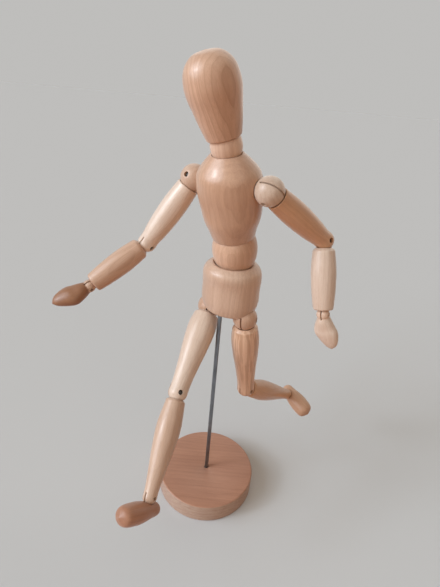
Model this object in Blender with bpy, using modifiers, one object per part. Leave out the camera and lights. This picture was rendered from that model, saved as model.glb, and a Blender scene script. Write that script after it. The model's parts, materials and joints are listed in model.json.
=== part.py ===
"""Wooden artist mannequin on a stand, posed as a running figure.

The frame has its origin at the centre of the base's underside, +Z up. In each limb's own frame
the limb hangs along -Z, the figure's front is -Y and its left side is +X.
"""
import math

import bpy
import bmesh
from mathutils import Matrix, Vector

MM = 0.001

# Fits shared by every joint
CLEARANCE = 0.3 * MM
SHEET = 0.5 * MM
KERF = SHEET + 2 * CLEARANCE
BALL_WEB = 1.0 * MM
SPRING_MOUTH_ANGLE = 24.0
PIN_RECESS = 1.2 * MM
WIRE_RADIUS = 0.45 * MM
COIL_RADIUS = 2.6 * MM
COIL_PITCH = 3.2 * MM
COIL_BORE = COIL_RADIUS + WIRE_RADIUS + CLEARANCE
WIRE_BORE = WIRE_RADIUS + CLEARANCE

# Stand
BASE_RADIUS = 39.0 * MM
BASE_THICKNESS = 16.6 * MM
BASE_EDGE = 1.4 * MM
ROD_RADIUS = 1.5 * MM
ROD_SOCKET_DEPTH = 12.0 * MM
ROD_IN_PELVIS = 16.0 * MM
ROD_AHEAD_OF_SPINE = 12.7 * MM
BASE_STEPS = 40
ROD_STEPS = 16

# Pelvis, heights above the hip axis
HIP_HEIGHT = 167.0 * MM
PELVIS_HALF_WIDTH = 20.5 * MM
PELVIS_HALF_DEPTH = 17.3 * MM
PELVIS_BOTTOM = 2.0 * MM
PELVIS_HEIGHT = 36.0 * MM
HIP_HALF_SPAN = 14.1 * MM
HIP_AHEAD_OF_SPINE = 2.0 * MM
HIP_BALL_RADIUS = 8.6 * MM
HIP_SPLAY = 5.3
PELVIS_EDGE = 0.8 * MM
PELVIS_RIM_WIDTH = 1.2 * MM
PELVIS_RIM_DROP = 3.6 * MM
PELVIS_RIM_BAND = 14.0 * MM
SPINE_BORE_FLOOR = 8.0 * MM
HIP_COIL_OFFSET = 4.0 * MM
HIP_COIL_LENGTH = 12.0 * MM

# Waist block and chest, heights above the middle of the waist block
WAIST_RADIUS = 15.0 * MM
WAIST_EDGE_RADIUS = 12.9 * MM
WAIST_HALF_HEIGHT = 10.1 * MM
CHEST_HALF_WIDTH = 21.4 * MM
CHEST_HALF_DEPTH = 18.3 * MM
CHEST_HEIGHT = 52.9 * MM
COLLAR_WIDTH = 1.3 * MM
HEM_WIDTH = 0.4 * MM
HEM_BAND = 2.0 * MM
SHOULDER_BEYOND_CHEST = 6.2 * MM
SHOULDER_HALF_SPAN = CHEST_HALF_WIDTH + SHOULDER_BEYOND_CHEST
SHOULDER_BEHIND_SPINE = 0.5 * MM
SHOULDER_HEIGHT = 43.9 * MM
SHOULDER_BALL_RADIUS = 8.9 * MM
SHOULDER_COIL_INSET = 3.0 * MM

# Neck and head, heights above the middle of the neck
NECK_RADIUS = 9.5 * MM
NECK_EDGE_RADIUS = 8.7 * MM
NECK_HALF_HEIGHT = 4.8 * MM
HEAD_RADIUS = 15.7 * MM
HEAD_HEIGHT = 45.0 * MM
HEAD_RIM_WIDTH = 1.2 * MM

# Balls about the middles of waist block and neck that their two ends are parts of
WAIST_BALL_RADIUS = math.hypot(WAIST_EDGE_RADIUS, WAIST_HALF_HEIGHT)
NECK_BALL_RADIUS = math.hypot(NECK_EDGE_RADIUS, NECK_HALF_HEIGHT)

# Limbs, each length from joint to joint
UPPER_ARM_LENGTH = 54.0 * MM
UPPER_ARM_RADIUS = 8.4 * MM
ELBOW_RADIUS = 6.4 * MM
FOREARM_LENGTH = 48.0 * MM
FOREARM_RADIUS = 8.1 * MM
FOREARM_EDGE = 1.5 * MM
WRIST_RADIUS = 4.3 * MM
HAND_LENGTH = 26.0 * MM
HAND_HALF_WIDTH = 7.8 * MM
HAND_FLATNESS = 0.66
FINGER_LEAN = 3.2 * MM
THIGH_LENGTH = 64.9 * MM
THIGH_RADIUS = 10.1 * MM
KNEE_RADIUS = 6.6 * MM
SHIN_LENGTH = 66.5 * MM
SHIN_RADIUS = 8.2 * MM
ANKLE_RADIUS = 4.6 * MM
FOOT_LENGTH = 33.0 * MM
FOOT_HALF_WIDTH = 7.4 * MM
FOOT_HEIGHT = 11.0 * MM
HEEL_BEHIND_ANKLE = 9.0 * MM
SOLE_BELOW_ANKLE = 13.4 * MM

# Steel tangs and pins
LARGE_PIN_RADIUS = 1.4 * MM
SMALL_PIN_RADIUS = 0.9 * MM
LARGE_EYE_RADIUS = 3.0 * MM
SMALL_EYE_RADIUS = 2.0 * MM
TANG_GRIP = 8.0 * MM
ANKLE_TANG_GRIP = 5.0 * MM

# Angle at a limb's joint between its axis and the rim of its dished end
RIM_ANGLE = 48.0

# A limb's round end keeps nearly its full radius up to this angle above the joint
SHANK_ANGLE = 18.0
SHANK_TAPER = 0.985

# Pose of the figure, in degrees
FIGURE_TURN = 26.6
TORSO_TURN = 6.2
WAIST_BEND = 10.4
CHEST_LEAN = -4.4
NECK_TURN = 0.0
NECK_NOD = 4.0
HEAD_TILT = -6.8
ARM_ANGLES = {
    "right": {"spin": -35.2, "swing": 27.7, "elbow": 28.1, "hand_turn": 4.3, "wrist": 9.2},
    "left": {"spin": 35.6, "swing": 23.4, "elbow": 57.2, "hand_turn": 20.0, "wrist": -17.0},
}
LEG_ANGLES = {
    "right": {"turn": -12.5, "swing": 50.8, "thigh_turn": 62.3, "knee": 5.6, "ankle_slot": -33.0,
              "ankle": -11.0, "foot_turn": 1.5},
    "left": {"turn": 5.4, "swing": -4.9, "thigh_turn": -22.6, "knee": 50.4, "ankle_slot": 0.0,
             "ankle": -6.9, "foot_turn": 71.7},
}
SIDES = {"right": -1, "left": 1}

# Facets around a turned piece, a pin and a wire
BODY_STEPS = 24
LIMB_STEPS = 16
BALL_STEPS = 16
PIN_STEPS = 10
ARC_STEPS = 3
SEAT_STEPS = 32

WOOD_COLOUR = (0.60, 0.36, 0.21, 1.0)
STEEL_COLOUR = (0.42, 0.43, 0.44, 1.0)
DARK_STEEL_COLOUR = (0.22, 0.21, 0.20, 1.0)
FINISHES = {
    "wood": (WOOD_COLOUR, 0.38, 0.0),
    "steel": (STEEL_COLOUR, 0.30, 1.0),
    "dark_steel": (DARK_STEEL_COLOUR, 0.45, 1.0),
}


def clear_scene():
    for thing in list(bpy.data.objects):
        bpy.data.objects.remove(thing, do_unlink=True)


def new_collection(name):
    collection = bpy.data.collections.new(name)
    bpy.context.scene.collection.children.link(collection)
    return collection


def finish(thing, kind):
    colour, roughness, metallic = FINISHES[kind]
    material = bpy.data.materials.new(thing.name + "_" + kind)
    material.use_nodes = True
    shader = material.node_tree.nodes["Principled BSDF"]
    shader.inputs["Base Color"].default_value = colour
    shader.inputs["Roughness"].default_value = roughness
    shader.inputs["Metallic"].default_value = metallic
    thing.data.materials.append(material)


def pivot(name, parent, location=(0, 0, 0), turn=(0, 0, 0)):
    """An empty on a joint's axis: location and turn (degrees) are in its parent's frame."""
    empty = bpy.data.objects.new(name, None)
    empty.empty_display_size = 5 * MM
    empty.location = location
    empty.rotation_euler = [math.radians(angle) for angle in turn]
    empty.parent = parent
    parts.objects.link(empty)
    return empty


def place(thing, parent, kind, location=(0, 0, 0), turn=(0, 0, 0)):
    thing.parent = parent
    thing.location = location
    thing.rotation_euler = [math.radians(angle) for angle in turn]
    parts.objects.link(thing)
    finish(thing, kind)
    return thing


def cutter(name, mesh, parent, location=(0, 0, 0), turn=(0, 0, 0)):
    tool = bpy.data.objects.new(name, mesh)
    tool.parent = parent
    tool.location = location
    tool.rotation_euler = [math.radians(angle) for angle in turn]
    tool.hide_render = True
    tool.display_type = "WIRE"
    cutters.objects.link(tool)
    return tool


def cut(thing, tool):
    boolean = thing.modifiers.new(tool.name, "BOOLEAN")
    boolean.operation = "DIFFERENCE"
    boolean.solver = "EXACT"
    boolean.object = tool


def cylinder_mesh(name, radius, bottom, top, steps=PIN_STEPS):
    """A cylinder along Z from bottom to top."""
    mesh = bpy.data.meshes.new(name)
    shape = bmesh.new()
    shift = Matrix.Translation((0, 0, (bottom + top) / 2))
    bmesh.ops.create_cone(shape, cap_ends=True, segments=steps, radius1=radius, radius2=radius,
                          depth=top - bottom, matrix=shift)
    shape.to_mesh(mesh)
    shape.free()
    mesh.shade_smooth()
    mesh.set_sharp_from_angle(angle=math.radians(40))
    return mesh


def box_mesh(name, low, high):
    mesh = bpy.data.meshes.new(name)
    shape = bmesh.new()
    low = Vector(low)
    high = Vector(high)
    size = Matrix.Diagonal((*(high - low), 1))
    bmesh.ops.create_cube(shape, size=1, matrix=Matrix.Translation((low + high) / 2) @ size)
    shape.to_mesh(mesh)
    shape.free()
    return mesh


def ball_mesh(name, radius, steps=BALL_STEPS):
    mesh = bpy.data.meshes.new(name)
    shape = bmesh.new()
    bmesh.ops.create_uvsphere(shape, u_segments=steps, v_segments=steps // 2, radius=radius)
    shape.to_mesh(mesh)
    shape.free()
    mesh.shade_smooth()
    return mesh


def curve_through(points, spans=2):
    """Points of a smooth curve through the given (radius, height) points."""
    knots = [Vector(point) for point in points]
    chords = [end - start for start, end in zip(knots, knots[1:])]
    tangents = [chords[0].normalized()]
    for before, after in zip(chords, chords[1:]):
        weight = before.length / (before.length + after.length)
        tangents.append(before.normalized().lerp(after.normalized(), weight))
    tangents.append(chords[-1].normalized())
    smooth = []
    for index, chord in enumerate(chords):
        leaving = tangents[index] * chord.length
        arriving = tangents[index + 1] * chord.length
        for step in range(spans):
            t = step / spans
            smooth.append(knots[index] + t * leaving + t * t * (3 * chord - 2 * leaving - arriving)
                          + t ** 3 * (leaving + arriving - 2 * chord))
    smooth.append(knots[-1])
    return [tuple(point) for point in smooth]


def arc(radius, height, start, end, steps=ARC_STEPS):
    """Points on a sphere about (0, height), by angle from straight up in degrees."""
    points = []
    for step in range(steps + 1):
        angle = math.radians(start + (end - start) * step / steps)
        points.append((radius * math.sin(angle), height + radius * math.cos(angle)))
    return points


def corner(radius, height, size, start, end, steps=2):
    """Points on a rounded edge of the given size about (radius, height)."""
    points = []
    for step in range(steps + 1):
        angle = math.radians(start + (end - start) * step / steps)
        points.append((radius + size * math.sin(angle), height + size * math.cos(angle)))
    return points


def profile_mesh(name, profile):
    """An outline at +X that runs down the outer side from the top of the axis to its foot."""
    mesh = bpy.data.meshes.new(name)
    points = [(radius, 0, height) for radius, height in profile]
    edges = [(index, index + 1) for index in range(len(points) - 1)]
    mesh.from_pydata(points, edges, [])
    return mesh


def turn_on_lathe(thing, steps):
    lathe = thing.modifiers.new("lathe", "SCREW")
    lathe.axis = "Z"
    lathe.angle = 2 * math.pi
    lathe.screw_offset = 0
    lathe.steps = steps
    lathe.render_steps = steps
    lathe.use_merge_vertices = True
    lathe.merge_threshold = 0.00001
    lathe.use_smooth_shade = True


def turned(name, profile, parent, steps=LIMB_STEPS):
    """A wooden piece turned about its own Z axis."""
    thing = bpy.data.objects.new(name, profile_mesh(name, profile))
    turn_on_lathe(thing, steps)
    return place(thing, parent, "wood")


def turned_mesh(name, profile, steps=LIMB_STEPS):
    """The finished mesh of a turned shape, for one that is shaped further or cuts another."""
    blank = bpy.data.objects.new(name, profile_mesh(name, profile))
    bpy.context.scene.collection.objects.link(blank)
    turn_on_lathe(blank, steps)
    graph = bpy.context.evaluated_depsgraph_get()
    mesh = bpy.data.meshes.new_from_object(blank.evaluated_get(graph))
    bpy.data.objects.remove(blank)
    mesh.shade_smooth()
    return mesh


def ease(value):
    value = min(max(value, 0.0), 1.0)
    return value * value * (3 - 2 * value)


def flatten(mesh, flatness, start, end):
    """Narrow a turned mesh front to back, from round at height start to flatness at height end."""
    for vertex in mesh.vertices:
        share = ease((vertex.co.z - start) / (end - start))
        vertex.co.y *= 1 + (flatness - 1) * share


def lean_out(mesh, shift, start, end):
    """Carry a mesh sideways, from nothing at height start to the whole shift at height end."""
    for vertex in mesh.vertices:
        vertex.co.x += shift * ease((vertex.co.z - start) / (end - start))


def pin(name, parent, radius, half_length, turn, location=(0, 0, 0)):
    mesh = cylinder_mesh(name, radius, -half_length, half_length)
    return place(bpy.data.objects.new(name, mesh), parent, "dark_steel", location, turn)


def pin_hole(name, thing, parent, radius, reach, turn, location=(0, 0, 0)):
    mesh = cylinder_mesh(name, radius + CLEARANCE, -reach, reach)
    cut(thing, cutter(name, mesh, parent, location, turn))


def ring_points(radius, start=0.0, sweep=360.0, steps=PIN_STEPS):
    count = steps if sweep == 360.0 else steps + 1
    points = []
    for step in range(count):
        angle = math.radians(start + sweep * step / steps)
        points.append((radius * math.cos(angle), radius * math.sin(angle)))
    return points


def tang(name, parent, eye_radius, pin_radius, length, turn, location=(0, 0, 0)):
    """A sheet-steel tang: an eye round a pin, with a strip that runs down its own -Y."""
    half_width = eye_radius - CLEARANCE
    rise = math.degrees(math.acos(half_width / eye_radius))
    outline = ring_points(eye_radius, -rise, 180 + 2 * rise)
    outline += [(-half_width, -length), (half_width, -length)]
    curve = bpy.data.curves.new(name, "CURVE")
    curve.dimensions = "2D"
    curve.fill_mode = "BOTH"
    curve.extrude = SHEET / 2
    for points in (outline, ring_points(pin_radius + CLEARANCE)):
        spline = curve.splines.new("POLY")
        spline.points.add(len(points) - 1)
        spline.use_cyclic_u = True
        for knot, (across, along) in zip(spline.points, points):
            knot.co = (across, along, 0, 1)
    return place(bpy.data.objects.new(name, curve), parent, "steel", location, turn)


def spring(name, parent, coil_start, coil_end, legs, location=(0, 0, 0), turn=(0, 0, 0)):
    """A tension spring along Z: a coil between two heights, with straight legs to others."""
    turns = max(2, round((coil_end - coil_start) / COIL_PITCH))
    points_per_turn = 6
    count = turns * points_per_turn
    points = []
    if "start" in legs:
        points += [(0, 0, legs["start"]), (0, 0, coil_start - COIL_PITCH / 2)]
    for step in range(count + 1):
        angle = 2 * math.pi * step / points_per_turn
        height = coil_start + (coil_end - coil_start) * step / count
        points.append((COIL_RADIUS * math.cos(angle), COIL_RADIUS * math.sin(angle), height))
    if "end" in legs:
        points += [(0, 0, coil_end + COIL_PITCH / 2), (0, 0, legs["end"])]
    curve = bpy.data.curves.new(name, "CURVE")
    curve.dimensions = "3D"
    curve.bevel_depth = WIRE_RADIUS
    curve.bevel_resolution = 0
    curve.use_fill_caps = True
    spline = curve.splines.new("POLY")
    spline.points.add(len(points) - 1)
    for knot, point in zip(spline.points, points):
        knot.co = (*point, 1)
    return place(bpy.data.objects.new(name, curve), parent, "steel", location, turn)


# Turns that lay a part made along Z, or a flat one made in XY, across a limb
ALONG_X = (0, 90, 0)
ALONG_Y = (90, 0, 0)
FACING_X = (90, 0, 90)
FACING_Y = (90, 0, 0)


def dished_top(ball_radius, rim_angle, outer_radius):
    """The upper end of a limb that hangs from a ball at its origin: dish, rim and chamfer."""
    dish = arc(ball_radius + CLEARANCE, 0, 180, 180 - rim_angle)
    return dish + [(outer_radius, -outer_radius / math.tan(math.radians(rim_angle)))]


def ball_end(radius, length):
    """The round lower end of a limb, about the next joint."""
    shank = (SHANK_TAPER * radius, -length + radius * math.tan(math.radians(SHANK_ANGLE)))
    return [shank] + arc(radius, -length, 90, 180, 4)


def limb(name, parent, top, waypoints, bottom):
    profile = top + curve_through([top[-1]] + waypoints + [bottom[0]])[1:-1] + bottom
    return turned(name, profile, parent)


def saw_kerf(name, thing, parent, low, high, location=(0, 0, 0)):
    cut(thing, cutter(name, box_mesh(name, low, high), parent, location))


def hinge(side, joint, upper, upper_frame, length, radius, pin_radius, eye_radius):
    """Saw the ball end of a limb for a hinge across X and give it its pin."""
    reach = 2 * radius
    name = side + "_" + joint
    saw_kerf(name + "_kerf", upper, upper_frame, (-KERF / 2, -reach, -reach),
             (KERF / 2, reach, eye_radius + 2 * CLEARANCE), (0, 0, -length))
    pin_hole(name + "_pin_hole", upper, upper_frame, pin_radius, reach, ALONG_X, (0, 0, -length))
    pin(name + "_pin", upper_frame, pin_radius, radius - PIN_RECESS, ALONG_X, (0, 0, -length))


def mortise(name, thing, parent, eye_radius, ball_radius):
    """The slit in a limb's dished end that the strip of a tang is glued in."""
    half_width = eye_radius
    bottom = ball_radius + TANG_GRIP + CLEARANCE
    saw_kerf(name, thing, parent, (-KERF / 2, -half_width, -bottom), (KERF / 2, half_width, 0))


def strip_bore(name, thing, parent, eye_radius, bottom, top):
    """The round bore that the strip of a tang turns in."""
    mesh = cylinder_mesh(name, eye_radius, bottom, top)
    cut(thing, cutter(name, mesh, parent))


def make_stand():
    socket = ROD_RADIUS + CLEARANCE
    floor = BASE_THICKNESS - ROD_SOCKET_DEPTH
    profile = [(0, floor), (socket, floor), (socket, BASE_THICKNESS)]
    profile += corner(BASE_RADIUS - BASE_EDGE, BASE_THICKNESS - BASE_EDGE, BASE_EDGE, 0, 90)
    profile += corner(BASE_RADIUS - BASE_EDGE, BASE_EDGE, BASE_EDGE, 90, 180)
    profile += [(0, 0)]
    stand = pivot("stand_frame", None)
    turned("stand_base", profile, stand, BASE_STEPS)
    top = HIP_HEIGHT + PELVIS_BOTTOM + ROD_IN_PELVIS - CLEARANCE
    mesh = cylinder_mesh("stand_rod", ROD_RADIUS, floor + CLEARANCE, top, ROD_STEPS)
    place(bpy.data.objects.new("stand_rod", mesh), stand, "steel")
    return stand


def round_block(name, parent, radius, edge_radius, half_height):
    """A short barrel whose ends are parts of one ball about its middle, hollowed for two springs."""
    ball = math.hypot(edge_radius, half_height)
    throat = WIRE_BORE + CLEARANCE
    edge_angle = math.degrees(math.asin(edge_radius / ball))
    upper = [(0, 2 * CLEARANCE), (throat, 2 * CLEARANCE)]
    upper += arc(ball, 0, SPRING_MOUTH_ANGLE, edge_angle, 2)
    half_way = radius - 0.25 * (radius - edge_radius)
    upper.append((half_way, half_height / 2))
    lower = [(across, -height) for across, height in reversed(upper)]
    return turned(name, upper + [(radius, 0)] + lower, parent, BODY_STEPS)


def make_pelvis(frame):
    top = PELVIS_BOTTOM + PELVIS_HEIGHT
    wide = PELVIS_HALF_WIDTH
    rim = WAIST_BALL_RADIUS + CLEARANCE
    seat = (0, 0, top + WAIST_HALF_HEIGHT - CLEARANCE)
    rim_radius = math.sqrt(rim ** 2 - (seat[2] - top) ** 2)
    shoulder = [(rim_radius + PELVIS_RIM_WIDTH, top), (0.92 * wide, top - PELVIS_RIM_DROP),
                (wide, PELVIS_BOTTOM + 0.48 * PELVIS_HEIGHT),
                (0.97 * wide, PELVIS_BOTTOM + 0.16 * PELVIS_HEIGHT),
                (0.86 * wide, PELVIS_BOTTOM + PELVIS_EDGE), (0.72 * wide, PELVIS_BOTTOM)]
    profile = [(0, top)] + curve_through(shoulder) + [(0, PELVIS_BOTTOM)]
    mesh = turned_mesh("pelvis", profile, BODY_STEPS)
    flatten(mesh, PELVIS_HALF_DEPTH / wide, top, top - PELVIS_RIM_BAND)
    pelvis = place(bpy.data.objects.new("pelvis", mesh), frame, "wood")
    cut(pelvis, cutter("waist_seat", ball_mesh("waist_seat", rim, SEAT_STEPS), frame, seat))
    bore_floor = PELVIS_BOTTOM + SPINE_BORE_FLOOR
    bore = cylinder_mesh("spine_bore", COIL_BORE, bore_floor, top)
    cut(pelvis, cutter("spine_bore", bore, frame))
    rod_bore = cylinder_mesh("rod_bore", ROD_RADIUS + CLEARANCE, -PELVIS_HEIGHT,
                             PELVIS_BOTTOM + ROD_IN_PELVIS)
    cut(pelvis, cutter("rod_bore", rod_bore, frame, (0, -ROD_AHEAD_OF_SPINE, 0)))
    return pelvis, seat, bore_floor


def make_chest(frame):
    bottom = WAIST_HALF_HEIGHT - CLEARANCE
    top = bottom + CHEST_HEIGHT
    wide = CHEST_HALF_WIDTH
    waist_ball = WAIST_BALL_RADIUS + CLEARANCE
    neck_ball = NECK_BALL_RADIUS + CLEARANCE
    neck_seat = (0, 0, top + NECK_HALF_HEIGHT - CLEARANCE)
    collar = math.sqrt(neck_ball ** 2 - (neck_seat[2] - top) ** 2)
    hem = math.sqrt(waist_ball ** 2 - bottom ** 2)
    side = [(collar + COLLAR_WIDTH, top), (0.76 * wide, top - 0.105 * CHEST_HEIGHT),
            (0.94 * wide, top - 0.205 * CHEST_HEIGHT), (wide, top - 0.35 * CHEST_HEIGHT),
            (0.97 * wide, top - 0.53 * CHEST_HEIGHT), (0.88 * wide, top - 0.745 * CHEST_HEIGHT),
            (0.5 * (hem + 0.82 * wide), top - 0.90 * CHEST_HEIGHT), (hem + HEM_WIDTH, bottom)]
    profile = [(0, top)] + curve_through(side) + [(0, bottom)]
    mesh = turned_mesh("chest", profile, BODY_STEPS)
    flatten(mesh, CHEST_HALF_DEPTH / wide, bottom + HEM_BAND, bottom + 0.4 * CHEST_HEIGHT)
    chest = place(bpy.data.objects.new("chest", mesh), frame, "wood")
    cut(chest, cutter("hem_seat", ball_mesh("hem_seat", waist_ball, SEAT_STEPS), frame))
    cut(chest, cutter("neck_seat", ball_mesh("neck_seat", neck_ball, SEAT_STEPS), frame, neck_seat))
    bore = cylinder_mesh("chest_bore", COIL_BORE, 0, top)
    cut(chest, cutter("chest_bore", bore, frame))
    return chest, neck_seat


def make_head(frame):
    bottom = NECK_HALF_HEIGHT - CLEARANCE
    top = bottom + HEAD_HEIGHT
    seat = NECK_BALL_RADIUS + CLEARANCE
    rim = math.sqrt(seat ** 2 - bottom ** 2)
    wide = HEAD_RADIUS
    dish = arc(seat, 0, 0, math.degrees(math.acos(bottom / seat)))
    side = [(0, top), (0.52 * wide, top - 0.035 * HEAD_HEIGHT),
            (0.84 * wide, top - 0.14 * HEAD_HEIGHT), (wide, top - 0.35 * HEAD_HEIGHT),
            (0.885 * wide, top - 0.64 * HEAD_HEIGHT), (0.76 * wide, top - 0.85 * HEAD_HEIGHT),
            (rim + HEAD_RIM_WIDTH, bottom + HEAD_RIM_WIDTH / 2)]
    profile = curve_through(side) + list(reversed(dish))
    turned("head", profile, frame, BODY_STEPS)


def make_arm(side, chest, chest_frame):
    sign = SIDES[side]
    pose = ARM_ANGLES[side]
    ball = SHOULDER_BALL_RADIUS
    shoulder = (sign * SHOULDER_HALF_SPAN, SHOULDER_BEHIND_SPINE, SHOULDER_HEIGHT)
    cup = ball_mesh(side + "_shoulder_cup", ball + CLEARANCE, BODY_STEPS)
    cut(chest, cutter(cup.name, cup, chest_frame, shoulder))
    spin = pivot(side + "_shoulder_spin", chest_frame, shoulder, (pose["spin"], 0, 0))
    swing = pivot(side + "_arm_swing", spin, turn=(0, -sign * pose["swing"], 0))

    shoulder_ball = place(bpy.data.objects.new(side + "_shoulder_ball", ball_mesh("ball", ball)),
                          spin, "wood")
    web = LARGE_EYE_RADIUS + 2 * CLEARANCE
    reach = 2 * ball
    limits = sorted((-sign * web, sign * reach))
    saw_kerf(side + "_shoulder_kerf", shoulder_ball, spin, (limits[0], -KERF / 2, -reach),
             (limits[1], KERF / 2, reach))
    pin_hole(side + "_shoulder_pin_hole", shoulder_ball, spin, LARGE_PIN_RADIUS, reach, ALONG_Y)
    pin(side + "_shoulder_pin", spin, LARGE_PIN_RADIUS, ball - PIN_RECESS, ALONG_Y)
    wire_bore = cylinder_mesh(side + "_shoulder_wire_bore", WIRE_BORE, web + BALL_WEB, reach)
    cut(shoulder_ball, cutter(wire_bore.name, wire_bore, spin, turn=(0, -sign * 90, 0)))

    top = dished_top(ball, RIM_ANGLE, 0.90 * UPPER_ARM_RADIUS)
    waypoints = [(UPPER_ARM_RADIUS, -0.40 * UPPER_ARM_LENGTH),
                 (0.5 * (UPPER_ARM_RADIUS + ELBOW_RADIUS), -0.76 * UPPER_ARM_LENGTH)]
    upper_arm = limb(side + "_upper_arm", swing, top, waypoints,
                     ball_end(ELBOW_RADIUS, UPPER_ARM_LENGTH))
    tang(side + "_shoulder_tang", swing, LARGE_EYE_RADIUS, LARGE_PIN_RADIUS, ball + TANG_GRIP, FACING_Y)
    half_width = LARGE_EYE_RADIUS
    bottom = ball + TANG_GRIP + CLEARANCE
    saw_kerf(side + "_shoulder_mortise", upper_arm, swing, (-half_width, -KERF / 2, -bottom),
             (half_width, KERF / 2, 0))
    hinge(side, "elbow", upper_arm, swing, UPPER_ARM_LENGTH, ELBOW_RADIUS, LARGE_PIN_RADIUS,
          LARGE_EYE_RADIUS)

    elbow = pivot(side + "_elbow_bend", swing, (0, 0, -UPPER_ARM_LENGTH), (-pose["elbow"], 0, 0))
    wrist_dish = arc(WRIST_RADIUS + CLEARANCE, -FOREARM_LENGTH, RIM_ANGLE, 0)
    waypoints = [(FOREARM_RADIUS, -0.40 * FOREARM_LENGTH), (0.94 * FOREARM_RADIUS, -0.70 * FOREARM_LENGTH)]
    cuff = corner(0.82 * FOREARM_RADIUS - FOREARM_EDGE, wrist_dish[0][1] + FOREARM_EDGE, FOREARM_EDGE,
                  90, 180)
    forearm = limb(side + "_forearm", elbow, dished_top(ELBOW_RADIUS, RIM_ANGLE, 0.88 * FOREARM_RADIUS),
                   waypoints, cuff + wrist_dish)
    tang(side + "_elbow_tang", elbow, LARGE_EYE_RADIUS, LARGE_PIN_RADIUS, ELBOW_RADIUS + TANG_GRIP,
         FACING_X)
    mortise(side + "_elbow_mortise", forearm, elbow, LARGE_EYE_RADIUS, ELBOW_RADIUS)
    strip_bore(side + "_wrist_bore", forearm, elbow, SMALL_EYE_RADIUS, -FOREARM_LENGTH,
               -FOREARM_LENGTH + WRIST_RADIUS + TANG_GRIP + CLEARANCE)

    hand_turn = pivot(side + "_hand_turn", elbow, (0, 0, -FOREARM_LENGTH), (0, 0, sign * pose["hand_turn"]))
    tang(side + "_wrist_tang", hand_turn, SMALL_EYE_RADIUS, SMALL_PIN_RADIUS, WRIST_RADIUS + TANG_GRIP,
         (-90, 0, 90))
    wrist = pivot(side + "_wrist_bend", hand_turn, turn=(-pose["wrist"], 0, 0))
    profile = arc(WRIST_RADIUS, 0, 0, 115, 4)
    palm = [profile[-1], (0.82 * HAND_HALF_WIDTH, -0.30 * HAND_LENGTH),
            (HAND_HALF_WIDTH, -0.48 * HAND_LENGTH), (0.80 * HAND_HALF_WIDTH, -0.72 * HAND_LENGTH),
            (0.40 * HAND_HALF_WIDTH, -0.92 * HAND_LENGTH), (0, -HAND_LENGTH)]
    mesh = turned_mesh(side + "_hand", profile[:-1] + curve_through(palm))
    flatten(mesh, HAND_FLATNESS, -WRIST_RADIUS / 2, -0.45 * HAND_LENGTH)
    lean_out(mesh, sign * FINGER_LEAN, -0.3 * HAND_LENGTH, -HAND_LENGTH)
    hand = place(bpy.data.objects.new(side + "_hand", mesh), wrist, "wood")
    reach = 2 * WRIST_RADIUS
    saw_kerf(side + "_wrist_kerf", hand, wrist,
             (-KERF / 2, -reach, -SMALL_EYE_RADIUS - 2 * CLEARANCE), (KERF / 2, reach, reach))
    pin_hole(side + "_wrist_pin_hole", hand, wrist, SMALL_PIN_RADIUS, reach, ALONG_X)
    pin(side + "_wrist_pin", wrist, SMALL_PIN_RADIUS, WRIST_RADIUS - PIN_RECESS, ALONG_X)


def make_foot(side, foot_turn):
    heel = HEEL_BEHIND_ANKLE
    toe = heel - FOOT_LENGTH
    outline = [(0, heel), (0.52 * FOOT_HALF_WIDTH, heel - 0.06 * FOOT_LENGTH),
               (0.78 * FOOT_HALF_WIDTH, heel - 0.28 * FOOT_LENGTH),
               (FOOT_HALF_WIDTH, heel - 0.66 * FOOT_LENGTH),
               (0.80 * FOOT_HALF_WIDTH, heel - 0.91 * FOOT_LENGTH), (0, toe)]
    mesh = turned_mesh(side + "_foot", curve_through(outline))
    lie_down = Matrix.Rotation(math.radians(-90), 4, "X")
    egg_half_height = 0.6 * FOOT_HEIGHT
    squat = Matrix.Diagonal((1, 1, egg_half_height / FOOT_HALF_WIDTH, 1))
    middle = Matrix.Translation((0, 0, -SOLE_BELOW_ANKLE + 0.5 * FOOT_HEIGHT))
    mesh.transform(middle @ squat @ lie_down)
    foot = place(bpy.data.objects.new(side + "_foot", mesh), foot_turn, "wood")
    reach = 2 * FOOT_LENGTH
    saw_kerf(side + "_sole_cut", foot, foot_turn, (-reach, -reach, -reach),
             (reach, reach, -SOLE_BELOW_ANKLE))
    dish = ball_mesh(side + "_ankle_dish", ANKLE_RADIUS + CLEARANCE)
    cut(foot, cutter(dish.name, dish, foot_turn))
    strip_bore(side + "_ankle_bore", foot, foot_turn, SMALL_EYE_RADIUS,
               -ANKLE_RADIUS - ANKLE_TANG_GRIP - CLEARANCE, 0)


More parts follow.
